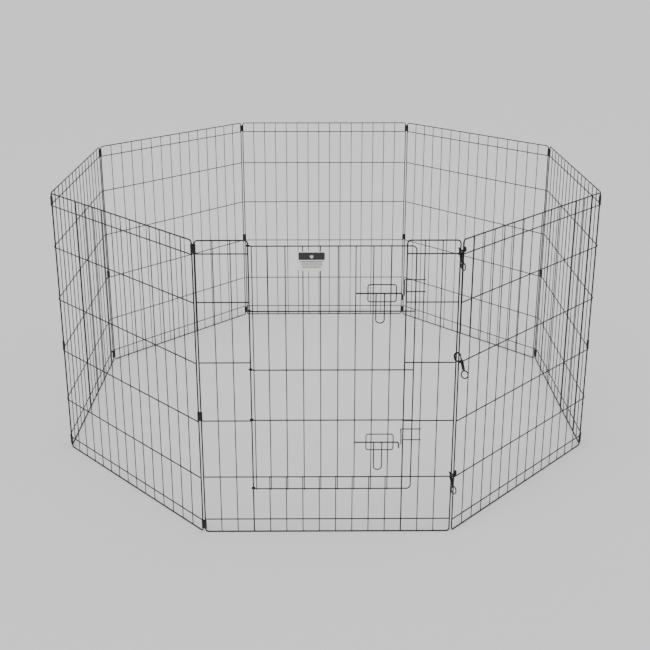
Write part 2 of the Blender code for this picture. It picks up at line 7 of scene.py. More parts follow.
import json
import random
from math import cos, pi, radians, sin, tan

import bmesh
import bpy
from bpy.props import FloatProperty, FloatVectorProperty, IntProperty, PointerProperty
from mathutils import Matrix, Vector


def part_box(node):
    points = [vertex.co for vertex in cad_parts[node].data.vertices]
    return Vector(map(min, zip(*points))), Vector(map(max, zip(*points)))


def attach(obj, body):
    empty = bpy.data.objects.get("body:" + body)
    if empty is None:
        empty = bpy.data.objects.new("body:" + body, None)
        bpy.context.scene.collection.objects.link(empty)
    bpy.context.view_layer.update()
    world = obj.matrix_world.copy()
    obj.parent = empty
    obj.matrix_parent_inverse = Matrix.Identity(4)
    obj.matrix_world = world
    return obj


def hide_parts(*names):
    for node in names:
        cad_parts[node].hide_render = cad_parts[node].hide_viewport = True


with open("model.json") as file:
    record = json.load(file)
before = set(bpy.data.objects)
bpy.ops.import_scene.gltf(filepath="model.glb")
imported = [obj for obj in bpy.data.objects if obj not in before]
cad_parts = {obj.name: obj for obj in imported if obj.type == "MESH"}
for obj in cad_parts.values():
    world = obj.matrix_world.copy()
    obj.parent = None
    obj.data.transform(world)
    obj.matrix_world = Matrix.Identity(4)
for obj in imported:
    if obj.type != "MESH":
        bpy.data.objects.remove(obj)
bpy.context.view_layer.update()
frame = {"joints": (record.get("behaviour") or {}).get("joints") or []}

bl_info = {
    "name": "Wire playpen",
    "version": (1, 0, 0),
    "blender": (4, 5, 0),
    "location": "View3D > Sidebar > Playpen",
    "description": "Builds the wires, clips, latches, snaps and tag of a folding playpen",
    "category": "Object",
}

JOINTS = {joint["name"]: joint for joint in frame["joints"]}
FRONT_STILE = Vector(JOINTS["panel_8_fold"]["pos_m"])
PANEL_COUNT = 8
SEED = 7


def length(name, description, default):
    return FloatProperty(name=name, description=description, default=default, unit="LENGTH", precision=5)


def colour(name, description, default):
    return FloatVectorProperty(
        name=name, description=description, default=default, subtype="COLOR", min=0, max=1
    )


class PenSizes(bpy.types.PropertyGroup):
    """Sizes of the wires and fittings"""

    span: length("Stile span", "Between the middles of a panel's two stiles", 2 * FRONT_STILE.x)
    height: length("Height", "From the floor to the top of the frame wire", 0.762)
    spaces: IntProperty(name="Spaces", description="Spaces between the uprights", default=15)
    corner: length("Corner spacing", "Between the stiles of two neighbouring panels", 0.0072)
    edge: length("Edge spacing", "From a rail to the cross wire beside it", 0.033)
    end: length("End spacing", "From that cross wire to the next", 0.118)
    frame_wire: length("Frame wire", "Diameter of the bent frame wire", 0.0034)
    opening_wire: length("Opening wire", "Diameter of the doorway's stiles", 0.0033)
    cross_wire: length("Cross wire", "Diameter of the cross wires and the door's frame", 0.003)
    upright_wire: length("Upright wire", "Diameter of the uprights", 0.0024)
    fitting_wire: length("Fitting wire", "Diameter of the keepers and guides", 0.0026)
    bend: length("Frame bend", "Radius of the frame's corners", 0.008)
    sink: length("Weld depth", "How far two welded wires sink into each other", 0.0004)
    gap: length("Running gap", "Clearance of parts that move on each other", 0.0004)
    clip_wall: length("Clip wall", "Thickness of the hinge clips' strip", 0.001)
    bolt_wire: length("Bolt wire", "Diameter of the bolts", 0.0034)
    loop_wire: length("Pull loop wire", "Diameter of the bolts' pull loops", 0.0028)
    hook_wire: length("Snap hook", "Diameter of the snaps' hooks", 0.0036)
    barrel: length("Snap barrel", "Radius of the snaps' barrels", 0.0036)
    tag_width: length("Tag width", "Width of the care tag", 0.062)
    tag_height: length("Tag height", "Height of the care tag", 0.045)


class PenLooks(bpy.types.PropertyGroup):
    """Colours of the finishes"""

    coating: colour("Coating", "Black coating of the wires", (0.004, 0.004, 0.0045))
    worn: colour("Rubbed coating", "Coating where hands and wires rub it", (0.012, 0.012, 0.013))
    dust: colour("Dust", "Dust on the lowest wires", (0.06, 0.055, 0.05))
    strip: colour("Clip strip", "Coated strip of the hinge clips", (0.007, 0.007, 0.0075))
    plating: colour("Snap plating", "Black plating of the snaps", (0.006, 0.006, 0.0065))
    spring: colour("Spring", "Bright spring wire", (0.5, 0.5, 0.51))
    card: colour("Card", "The tag's card", (0.83, 0.83, 0.81))
    band: colour("Tag band", "The tag's dark band", (0.016, 0.016, 0.018))
    print_tone: colour("Tag print", "The tag's plain bars", (0.04, 0.04, 0.045))
    floor: colour("Floor", "The pale floor", (0.9, 0.9, 0.9))


def sizes():
    return bpy.context.scene.playpen_sizes


def looks():
    return bpy.context.scene.playpen_looks


# --- Finishes ---
class Value:
    """A node socket that can stand in Python sums."""

    def __init__(self, finish, socket):
        self.finish = finish
        self.socket = socket

    def __add__(self, other):
        return self.finish.sum("ADD", self, other)

    def __mul__(self, other):
        return self.finish.sum("MULTIPLY", self, other)

    def __sub__(self, other):
        return self.finish.sum("SUBTRACT", self, other)

    def __rsub__(self, other):
        return self.finish.sum("SUBTRACT", other, self)

    __radd__ = __add__
    __rmul__ = __mul__

    def clipped(self):
        return self.finish.node("ShaderNodeClamp", {}, {0: self})


class Finish:
    """A material and the nodes that feed its shader."""

    def __init__(self, name):
        self.material = bpy.data.materials.new(name)
        self.material.use_nodes = True
        self.tree = self.material.node_tree
        self.shader = self.tree.nodes["Principled BSDF"]

    def node(self, kind, settings, inputs, output=0):
        made = self.tree.nodes.new(kind)
        for name, value in settings.items():
            if name == "stops":
                for stop, (place, tone) in zip(made.color_ramp.elements, value):
                    stop.position = place
                    stop.color = (tone, tone, tone, 1)
            else:
                setattr(made, name, value)
        for name, value in inputs.items():
            self.feed(made.inputs[name], value)
        return Value(self, made.outputs[output])

    def feed(self, socket, value):
        if isinstance(value, Value):
            self.tree.links.new(value.socket, socket)
        else:
            socket.default_value = value

    def sum(self, operation, first, second):
        return self.node("ShaderNodeMath", {"operation": operation}, {0: first, 1: second})

    def place(self):
        return self.node("ShaderNodeTexCoord", {}, {}, "Object")

    def stretched(self, along):
        """The place on the piece, with its grain drawn out along one or more axes."""
        return self.node("ShaderNodeMapping", {}, {"Vector": self.place(), "Scale": along})

    def height(self):
        return self.node("ShaderNodeSeparateXYZ", {}, {0: self.place()}, "Z")

    def noise(self, scale, detail=3, rough=0.5, place=None):
        inputs = {"Vector": place or self.place(), "Scale": scale, "Detail": detail, "Roughness": rough}
        return self.node("ShaderNodeTexNoise", {}, inputs)

    def ramp(self, value, low, high):
        """Zero below one value of the input, one above the other."""
        return self.node("ShaderNodeValToRGB", {"stops": ((low, 0), (high, 1))}, {0: value})

    def mix(self, share, first, second):
        inputs = {0: share, 6: self.tone(first), 7: self.tone(second)}
        return self.node("ShaderNodeMix", {"data_type": "RGBA"}, inputs, 2)

    def tone(self, value):
        return value if isinstance(value, Value) else (*value, 1)

    def bump(self, height, depth, distance):
        inputs = {"Strength": depth, "Distance": distance, "Height": height}
        return self.node("ShaderNodeBump", {}, inputs)

    def shade(self, **inputs):
        for name, value in inputs.items():
            self.feed(self.shader.inputs[name.replace("_", " ")], value)
        return self.material


def coated_wire():
    """Semi-gloss black coating: faint orange peel, mottled sheen, rubbed patches, dust low down."""
    tone = looks()
    finish = Finish("black_coating")
    mottle = finish.noise(60, 4)
    peel = finish.noise(1400, 2)
    rubbed = finish.ramp(finish.noise(9, 5, 0.6), 0.56, 0.72)
    speck = finish.ramp(finish.noise(420, 2), 0.66, 0.72)
    low = (1 - finish.height() * 9).clipped()
    dusty = (low * finish.ramp(finish.noise(110, 4, 0.7), 0.42, 0.66) * 0.55).clipped()
    base = finish.mix(rubbed * 0.6, tone.coating, tone.worn)
    base = finish.mix(mottle * 0.35, base, tone.worn)
    base = finish.mix((dusty + speck * 0.12).clipped(), base, tone.dust)
    return finish.shade(
        Base_Color=base,
        Roughness=0.24 + mottle * 0.16 + dusty * 0.35 + rubbed * -0.05,
        Normal=finish.bump(peel * 0.5 + mottle * 0.5, 0.22, 0.00018),
        Specular_IOR_Level=0.22,
    )


def coated_strip():
    """Rolled and crimped strip under the same coating, brighter where the stiles have rubbed it."""
    tone = looks()
    finish = Finish("clip_strip")
    rolled = finish.noise(500, 3, place=finish.stretched((1, 1, 0.12)))
    rubbed = finish.ramp(finish.noise(240, 4, 0.6), 0.55, 0.75)
    base = finish.mix(rubbed * 0.55, tone.strip, tone.worn)
    return finish.shade(
        Base_Color=base,
        Roughness=0.30 + rolled * 0.22 + rubbed * -0.08,
        Normal=finish.bump(rolled, 0.25, 0.00012),
        Metallic=0.35,
    )


def plated_snap():
    """Die-cast metal under black plating, with a slight casting texture and polished rubs."""
    tone = looks()
    finish = Finish("snap_plating")
    cast = finish.noise(900, 4, 0.65)
    rubbed = finish.ramp(finish.noise(320, 3), 0.54, 0.7)
    base = finish.mix(rubbed * 0.7, tone.plating, tone.worn)
    return finish.shade(
        Base_Color=base,
        Roughness=0.22 + cast * 0.2 + rubbed * 0.06,
        Normal=finish.bump(cast, 0.3, 0.00015),
        Metallic=0.55,
    )


def spring_wire():
    """Drawn spring wire: bright, with lengthwise die marks."""
    finish = Finish("spring_wire")
    drawn = finish.noise(2500, 3)
    base = finish.mix(drawn * 0.5, looks().spring, (0.3, 0.3, 0.31))
    return finish.shade(Base_Color=base, Roughness=0.18 + drawn * 0.2, Metallic=1.0)


def printed_card(name, tone, depth):
    """Laminated card: paper grain under a thin glossy film that has a few light scuffs."""
    finish = Finish(name)
    grain = finish.noise(1800, 3)
    scuff = finish.ramp(finish.noise(70, 5, 0.7, finish.stretched((1, 1, 3))), 0.58, 0.7)
    light = tuple(min(1, value * 1.25 + 0.02) for value in tone)
    dark = tuple(value * depth for value in tone)
    base = finish.mix(grain * 0.4, tone, dark)
    return finish.shade(
        Base_Color=finish.mix(scuff * 0.3, base, light),
        Roughness=0.32 + scuff * 0.25 + grain * 0.08,
        Normal=finish.bump(grain, 0.12, 0.0001),
    )


def floor_finish():
    finish = Finish("pale_floor")
    soft = finish.noise(3, 3)
    base = finish.mix(soft * 0.2, looks().floor, (0.88, 0.88, 0.885))
    return finish.shade(Base_Color=base, Roughness=0.55 + soft * 0.1)


FINISHES = {
    "black_coating": coated_wire,
    "clip_steel": coated_strip,
    "snap_metal": plated_snap,
    "spring_steel": spring_wire,
    "tag_card": lambda: printed_card("tag_card", looks().card, 0.94),
    "tag_band": lambda: printed_card("tag_band", looks().band, 0.8),
    "tag_print": lambda: printed_card("tag_print", looks().print_tone, 0.85),
}
MADE = {}


def finish_of(name):
    if name not in MADE:
        MADE[name] = FINISHES[name]()
    return MADE[name]


# --- Wires and small forms ---
SIDES = 12
BEND_STEPS = 8
END_EDGE = 0.3
END_FACE = 0.72
SHARP_ANGLE = 38


def arc(centre, radius, start, end, steps, across=(1, 0, 0), up=(0, 0, 1)):
    centre, across, up = Vector(centre), Vector(across), Vector(up)
    angles = [radians(start + (end - start) * i / steps) for i in range(steps + 1)]
    return [centre + radius * (cos(a) * across + sin(a) * up) for a in angles]


def bend(before, corner, after, radius):
    """The round bend that joins two straight runs at a corner."""
    before, corner, after = Vector(before), Vector(corner), Vector(after)
    back, ahead = (before - corner).normalized(), (after - corner).normalized()
    half = back.angle(ahead) / 2
    centre = corner + (back + ahead).normalized() * radius / sin(half)
    first = corner + back * radius / tan(half) - centre
    last = corner + ahead * radius / tan(half) - centre
    swing = (pi - 2 * half) / BEND_STEPS
    return [centre + Matrix.Rotation(swing * i, 3, first.cross(last)) @ first for i in range(BEND_STEPS + 1)]


def rounded(points, radius, closed=False):
    """Straight runs through the points, with each corner turned into a round bend."""
    count = len(points)
    run = []
    for i, corner in enumerate(points):
        if not closed and i in (0, count - 1):
            run.append(Vector(corner))
        else:
            run += bend(points[i - 1], corner, points[(i + 1) % count], radius)
    return run


def ring_at(form, place, tangent, normal, radius):
    side = tangent.cross(normal)
    turns = [2 * pi * k / SIDES for k in range(SIDES)]
    return [form.verts.new(place + radius * (cos(a) * normal + sin(a) * side)) for a in turns]


def skin(form, first, second, shift=0):
    for k in range(SIDES):
        after = (k + 1) % SIDES
        corners = (first[k], first[after], second[(after + shift) % SIDES], second[(k + shift) % SIDES])
        form.faces.new(corners)


def wire(form, path, radius, closed=False, widths=None):
    """A round wire along a path. Its sheared ends have a small rounded edge."""
    path = [Vector(point) for point in path]
    edge = END_EDGE * radius
    if not closed:
        start, finish = (path[1] - path[0]).normalized(), (path[-2] - path[-1]).normalized()
        path = [path[0], path[0] + start * edge, *path[1:-1], path[-1] + finish * edge, path[-1]]
        widths = widths or [1] * (len(path) - 2)
        widths = [END_FACE * widths[0], *widths, END_FACE * widths[-1]]
    widths = widths or [1] * len(path)
    count = len(path)
    rings, normal = [], None
    for i, place in enumerate(path):
        before = path[i - 1] if closed or i else place
        after = path[(i + 1) % count] if closed or i < count - 1 else place
        tangent = (after - before).normalized()
        normal = tangent.orthogonal() if normal is None else normal - tangent * normal.dot(tangent)
        normal.normalize()
        rings.append(ring_at(form, place, tangent, normal, radius * widths[i]))
    for first, second in zip(rings, rings[1:]):
        skin(form, first, second)
    if closed:
        first, last = rings[0], rings[-1]
        shift = min(range(SIDES), key=lambda k: (first[k].co - last[0].co).length)
        skin(form, last, first, shift)
    else:
        form.faces.new(rings[0][::-1])
        form.faces.new(rings[-1])


def bead(form, place, size):
    """A weld's squeezed-out metal, as a small flattened drop."""
    where = Matrix.Translation(place) @ Matrix.Diagonal((*size, 1))
    bmesh.ops.create_icosphere(form, subdivisions=2, radius=1, matrix=where)


def turned(form, outline, hollow=False):
    """A turned form about Z from its (radius, height) outline, which runs in a loop if it is hollow."""
    up, across = Vector((0, 0, 1)), Vector((1, 0, 0))
    rings = [ring_at(form, Vector((0, 0, z)), up, across, radius) for radius, z in outline]
    for first, second in zip(rings, rings[1:]):
        skin(form, first, second)
    if hollow:
        skin(form, rings[-1], rings[0])
    else:
        form.faces.new(rings[0][::-1])
        form.faces.new(rings[-1])


def form_mesh(name, build):
    form = bmesh.new()
    build(form)
    bmesh.ops.recalc_face_normals(form, faces=form.faces)
    mesh = bpy.data.meshes.new(name)
    form.to_mesh(mesh)
    form.free()
    return mesh


def plate_mesh(name, outlines, depth, edge):
    """A flat plate with round holes and softened edges, from closed outlines in its own plane."""
    curve = bpy.data.curves.new(name, "CURVE")
    curve.dimensions = "2D"
    curve.fill_mode = "BOTH"
    curve.extrude = depth / 2 - edge
    curve.bevel_depth = edge
    curve.bevel_resolution = 2
    curve.offset = -edge
    for outline in outlines:
        spline = curve.splines.new("POLY")
        spline.points.add(len(outline) - 1)
        spline.use_cyclic_u = True
        for point, (x, y) in zip(spline.points, outline):
            point.co = (x, y, 0, 1)
    holder = bpy.data.objects.new(name, curve)
    bpy.context.scene.collection.objects.link(holder)
    graph = bpy.context.evaluated_depsgraph_get()
    mesh = bpy.data.meshes.new_from_object(holder.evaluated_get(graph))
    bpy.data.objects.remove(holder)
    bpy.data.curves.remove(curve)
    form = bmesh.new()
    form.from_mesh(mesh)
    bmesh.ops.remove_doubles(form, verts=form.verts, dist=1e-6)
    bmesh.ops.recalc_face_normals(form, faces=form.faces)
    form.to_mesh(mesh)
    form.free()
    return mesh


def put(name, mesh, place, body, slot, replaces=(), look=None):
    """Shows a mesh at its place, riding on a body, with the slot's finish."""
    piece = bpy.data.objects.new(name, mesh)
    bpy.context.scene.collection.objects.link(piece)
    piece.matrix_world = place
    if not mesh.materials:
        mesh.materials.append(finish_of(look or slot))
        mesh.shade_smooth()
        mesh.set_sharp_from_angle(angle=radians(SHARP_ANGLE))
    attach(piece, body)
    if replaces:
        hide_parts(*replaces)
    return piece


# --- Places ---
def panel_place(number):
    """The frame of a panel, counted clockwise from above, from the door panel's right stile."""
    size = sizes()
    half_turn = Matrix.Rotation(-pi / PANEL_COUNT, 4, "Z")
    step = Matrix.Translation((-size.span, 0, 0)) @ half_turn
    step = step @ Matrix.Translation((-size.corner, 0, 0)) @ half_turn
    place = Matrix.Translation(FRONT_STILE)
    for _ in range(number - 1):
        place = place @ step
    return place


def upright_x(space):
    size = sizes()
    return -size.span + space * size.span / size.spaces


class Depths:
    """Where each layer of wires lies, in a panel's Y, worked out from the wires' sizes."""

    def __init__(self):
        size = sizes()
        self.frame, self.cross = size.frame_wire / 2, size.cross_wire / 2
        self.upright, self.fitting = size.upright_wire / 2, size.fitting_wire / 2
        self.bolt, self.loop = size.bolt_wire / 2, size.loop_wire / 2
        self.cross_y = self.frame + self.cross - size.sink
        self.upright_y = self.cross_y - (self.cross + self.upright - size.sink)
        self.door_y = -(self.frame + size.gap + self.cross)
        self.door_upright_y = self.door_y - (self.cross + self.upright - size.sink)
        self.guide_y = self.door_upright_y - (self.upright + self.fitting - size.sink)
        self.bolt_y = self.door_upright_y - self.upright - size.gap - self.bolt
        self.bow_y = self.bolt_y - (self.bolt + size.gap + self.fitting)
        self.loop_y = self.bolt_y - (self.bolt + self.loop - size.sink)
        self.keeper_y = self.frame + self.fitting - size.sink
        self.rail = self.frame
        self.top = size.height - self.frame


def levels():
    """Heights of the six cross wires."""
    size, depth = sizes(), Depths()
    low = depth.rail + size.edge + size.end
    step = (depth.top - depth.rail - 2 * (size.edge + size.end)) / 3
    middle = [low + i * step for i in range(4)]
    return [depth.rail + size.edge, *middle, depth.top - size.edge]


def weld_beads(places, spread, seed):
    """Beads at the crossings, each a little different, as resistance welds are."""
    draw = random.Random(seed)

    def build(form):
        for x, y, z in places:
            grow = draw.uniform(0.85, 1.15)
            shift = draw.uniform(-0.0002, 0.0002)
            bead(form, (x + shift, y, z - shift), [part * grow for part in spread])

    return form_mesh("weld_beads", build)


# --- Plain panels ---
WELD_SPREAD = (0.00165, 0.0010, 0.00175)
SEAM_LENGTH = 0.0011
SEAM_RISE = 0.0002
SEAM_DROP = 0.0001
WIRE_END = 0.001


class PLAYPEN_OT_wire_panels(bpy.types.Operator):
    """Builds the seven plain panels: bent frame, uprights, cross wires and welds"""

    bl_idname = "playpen.wire_panels"
    bl_label = "Wire panels"

    def execute(self, context):
        size, depth = sizes(), Depths()
        left, right = -size.span, 0
        ends = [(left, depth.rail), (left, depth.top), (right, depth.top), (right, depth.rail)]
        corners = [(x, 0, z) for x, z in ends]
        places = [upright_x(k) for k in range(1, size.spaces)]
        outer, upright_y = -depth.cross_y, -depth.upright_y

        def outline(form):
            wire(form, rounded(corners, size.bend, closed=True), depth.frame, closed=True)
            spread = (SEAM_LENGTH, depth.frame + SEAM_RISE, depth.frame + SEAM_DROP)
            bead(form, (left / 2, 0, depth.rail), spread)

        def uprights(form):
            for x in places:
                wire(form, [(x, upright_y, depth.rail), (x, upright_y, depth.top)], depth.upright)

        def cross_wires(form):
            for z in levels():
                wire(form, [(left - WIRE_END, outer, z), (right + WIRE_END, outer, z)], depth.cross)

        between = (outer + upright_y) / 2
        welds = [(x, between, z) for x in places for z in levels()]
        welds += [(x, upright_y / 2, z) for x in places for z in (depth.rail, depth.top)]
        welds += [(x, outer / 2, z) for x in (left, right) for z in levels()]
        meshes = {
            "frame": form_mesh("panel_frame", outline),
            "uprights": form_mesh("panel_uprights", uprights),
            "cross_wires": form_mesh("panel_cross_wires", cross_wires),
            "welds": weld_beads(welds, WELD_SPREAD, SEED),
        }
        for number in range(2, PANEL_COUNT + 1):
            body = f"panel_{number}"
            for part, mesh in meshes.items():
                stands_for = [body] if part == "frame" else []
                put(f"{body}_{part}", mesh, panel_place(number), body, "black_coating", stands_for)
        return {"FINISHED"}


# --- The door panel ---
LEFT_SPACE, RIGHT_SPACE = 3, 12
SILL_LEVEL = 1
SPLICE = 0.004
SPLICE_SPREAD = (0.0021, 0.0021, 0.0014)
STILE_SPREAD = (0.0019, 0.001, 0.0016)
FITTING_SPREAD = (0.0016, 0.001, 0.0016)
KEEPER_RISE = 0.029
KEEPER_DROP = 0.004
KEEPER_LEG_GAP = 0.0055
KEEPER_BEND = 0.006
KEEPER_OVERHANG = 0.004
LATCH_PLACES = {"upper": (4, 0.0260), "lower": (2, -0.0515)}


def latch_heights():
    return {name: levels()[level] + rise for name, (level, rise) in LATCH_PLACES.items()}


class PLAYPEN_OT_door_panel(bpy.types.Operator):
    """Builds the front panel: two narrow columns, the sill, the doorway's stiles and the keepers"""

    bl_idname = "playpen.door_panel"
    bl_label = "Door panel"

    def execute(self, context):
        size, depth = sizes(), Depths()
        left, right = upright_x(LEFT_SPACE), upright_x(RIGHT_SPACE)
        splice = depth.top - size.bend - SPLICE
        columns = [k for k in range(1, size.spaces) if not LEFT_SPACE <= k <= RIGHT_SPACE]
        sill = range(LEFT_SPACE + 1, RIGHT_SPACE)
        sill_top = levels()[SILL_LEVEL] + depth.cross
        upper = levels()[SILL_LEVEL + 1 :]

        def outline(form):
            corners = [
                (left, 0, splice),
                (left, 0, depth.top),
                (-size.span, 0, depth.top),
                (-size.span, 0, depth.rail),
                (0, 0, depth.rail),
                (0, 0, depth.top),
                (right, 0, depth.top),
                (right, 0, splice),
            ]
            wire(form, rounded(corners, size.bend), depth.frame)
            for x in (left, right):
                wire(form, [(x, 0, depth.rail), (x, 0, splice + SPLICE / 2)], size.opening_wire / 2)
                bead(form, (x, 0, splice + SPLICE / 4), SPLICE_SPREAD)

        def uprights(form):
            for k, top in [(k, depth.top) for k in columns] + [(k, sill_top) for k in sill]:
                x = upright_x(k)
                wire(form, [(x, depth.upright_y, depth.rail), (x, depth.upright_y, top)], depth.upright)

        spans = [(z, -size.span - WIRE_END, WIRE_END) for z in levels()[: SILL_LEVEL + 1]]
        spans += [(z, -size.span - WIRE_END, left + WIRE_END) for z in upper]
        spans += [(z, right - WIRE_END, WIRE_END) for z in upper]

        def cross_wires(form):
            for z, start, end in spans:
                wire(form, [(start, depth.cross_y, z), (end, depth.cross_y, z)], depth.cross)

        def keepers(form):
            far, leg = upright_x(RIGHT_SPACE + 1) + KEEPER_OVERHANG, right - KEEPER_LEG_GAP
            for height in latch_heights().values():
                high = height + KEEPER_RISE
                arm = [
                    (far, depth.keeper_y, high),
                    (leg, depth.keeper_y, high),
                    (leg, depth.bow_y, high - KEEPER_BEND),
                    (leg, depth.bow_y, height - KEEPER_DROP),
                ]
                wire(form, rounded(arm, KEEPER_BEND / 2), depth.fitting)
                lower = [(far, depth.keeper_y, height), (right - WIRE_END, depth.keeper_y, height)]
                wire(form, lower, depth.fitting)
                for z in (high, height):
                    bead(form, (right, depth.keeper_y / 2, z), STILE_SPREAD)
                    bead(form, (upright_x(RIGHT_SPACE + 1), depth.keeper_y / 2, z), FITTING_SPREAD)

        between = (depth.cross_y + depth.upright_y) / 2
        welds = [(upright_x(k), between, z) for k in columns for z in levels()]
        welds += [(upright_x(k), between, z) for k in sill for z in levels()[: SILL_LEVEL + 1]]
        welds += [(upright_x(k), depth.upright_y / 2, depth.top) for k in columns]
        welds += [(upright_x(k), depth.upright_y / 2, depth.rail) for k in [*columns, *sill]]
        welds += [(x, depth.cross_y / 2, z) for x in (-size.span, left, right, 0) for z in levels()]
        parts = {
            "frame": form_mesh("door_panel_frame", outline),
            "uprights": form_mesh("door_panel_uprights", uprights),
            "cross_wires": form_mesh("door_panel_cross_wires", cross_wires),
            "keepers": form_mesh("door_panel_keepers", keepers),
            "welds": weld_beads(welds, WELD_SPREAD, SEED + 1),
        }
        for part, mesh in parts.items():
            stands_for = ["door_panel"] if part == "frame" else []
            put(f"door_panel_{part}", mesh, panel_place(1), "door_panel", "black_coating", stands_for)
        return {"FINISHED"}


# --- Hinge clips ---
CLIP_MARGIN = 0.0008
CLIP_EDGE = 0.00022
CLIP_WRAP = 132
CLIP_WAIST = 0.80
CLIP_WEB = 0.0004
CLIP_SEAM = 0.00018
CLIP_SEAM_DEPTH = 0.55
ARC_STEPS = 22
EYE_STEPS = 24
CLIP_BODIES = {1: "door_panel", **{corner: f"panel_{corner}" for corner in range(2, PANEL_COUNT)}}


def clip_mesh():
    """Two eyes of one crimped strip, with the closed seam down the outside of the web."""
    size, depth = sizes(), Depths()
    inner = depth.frame + size.gap
    outer = inner + size.clip_wall
    tall = size.edge - size.bend - depth.cross - 2 * CLIP_MARGIN

    def eye_arc(centre, first, last):
        angles = [radians(first + (last - first) * i / ARC_STEPS) for i in range(ARC_STEPS + 1)]
        return [(centre + outer * cos(a), outer * sin(a)) for a in angles]

    waist = outer * CLIP_WAIST
    middle = -size.corner / 2
    groove = -waist * CLIP_SEAM_DEPTH
    outline = eye_arc(0, -CLIP_WRAP, CLIP_WRAP)
    outline += [(middle + CLIP_WEB, waist), (middle - CLIP_WEB, waist)]
    outline += eye_arc(-size.corner, 180 - CLIP_WRAP, 180 + CLIP_WRAP)
    outline += [(middle - CLIP_SEAM, -waist), (middle - CLIP_SEAM / 2, groove)]
    outline += [(middle + CLIP_SEAM / 2, groove), (middle + CLIP_SEAM, -waist)]
    circle = [2 * pi * i / EYE_STEPS for i in range(EYE_STEPS)]
    eyes = [[(x + inner * cos(a), inner * sin(a)) for a in circle] for x in (0, -size.corner)]
    return plate_mesh("hinge_clip", [outline, *eyes], tall, CLIP_EDGE), tall


class PLAYPEN_OT_hinge_clips(bpy.types.Operator):
    """Builds the crimped clips that join the panels at seven corners"""

    bl_idname = "playpen.hinge_clips"
    bl_label = "Hinge clips"

    def execute(self, context):
        size, depth = sizes(), Depths()
        mesh, tall = clip_mesh()
        margin = CLIP_MARGIN + tall / 2
        heights = {
            "top": depth.top - size.bend - margin,
            "middle": levels()[2] + depth.cross + margin,
            "bottom": depth.rail + size.bend + margin,
        }
        half_turn = Matrix.Rotation(-pi / PANEL_COUNT, 4, "Z")
        for corner, body in CLIP_BODIES.items():
            for where, z in heights.items():
                node = f"hinge_clip_{corner}_{where}"
                place = panel_place(corner) @ Matrix.Translation((-size.span, 0, z)) @ half_turn
                put(f"clip_{corner}_{where}", mesh, place, body, "clip_steel", [node])
        return {"FINISHED"}


# --- The door ---
DOOR_CROSSES = ((4, -0.020), (3, -0.016), (2, 0.005))
DOOR_LEFT_GAP = 0.0085
DOOR_LAP = 0.021
DOOR_SHIFT = 0.004
DOOR_BEND = 0.010
DOOR_TOP_DROP = 0.0125
DOOR_BOTTOM_DROP = 0.029
EYE_SWEEP = 265
GUIDE_OVERHANG = 0.0125
GUIDE_HEIGHT = 0.042
GUIDE_BEND = 0.006
GUIDE_BOW = 0.004
GUIDE_BOW_RISE = 0.012
BOW_STEPS = 10
GUIDE_SPACES = (RIGHT_SPACE - 2, RIGHT_SPACE - 1)


def door_upright_x(space):
    return upright_x(space) + DOOR_SHIFT


def door_top():
    return Depths().top - DOOR_TOP_DROP


def door_bottom():
    return levels()[SILL_LEVEL] - DOOR_BOTTOM_DROP


def door_eye(height):
    """From the door's plane round the doorway's left stile."""
    depth = Depths()
    centre = (upright_x(LEFT_SPACE), 0, height)
    return arc(centre, -depth.door_y, -90, -90 - EYE_SWEEP, EYE_STEPS, up=(0, 1, 0))


def guide_loop(height):
    """The closed loop welded over two uprights, whose sides bow out round the bolt."""
    depth = Depths()
    left = door_upright_x(GUIDE_SPACES[0]) - GUIDE_OVERHANG
    right = door_upright_x(GUIDE_SPACES[1]) + GUIDE_OVERHANG
    low, high = height - GUIDE_HEIGHT / 2, height + GUIDE_HEIGHT / 2
    corners = [(x, depth.guide_y, z) for x, z in ((left, low), (left, high), (right, high), (right, low))]
    bends = [bend(corners[i - 1], corners[i], corners[(i + 1) % 4], GUIDE_BEND) for i in range(4)]
    steps = BOW_STEPS
    shares = [i / steps for i in range(steps + 1)]
    rises = [-GUIDE_BOW_RISE + 2 * GUIDE_BOW_RISE * share for share in shares]

    def bow(rise):
        reach = min(1, (GUIDE_BOW_RISE - abs(rise)) / (GUIDE_BOW_RISE - GUIDE_BOW))
        soft = reach * reach * (3 - 2 * reach)
        return depth.guide_y + (depth.bow_y - depth.guide_y) * soft

    up = [(left, bow(rise), height + rise) for rise in rises]
    down = [(right, bow(rise), height + rise) for rise in reversed(rises)]
    return bends[0] + up + bends[1] + bends[2] + down + bends[3]


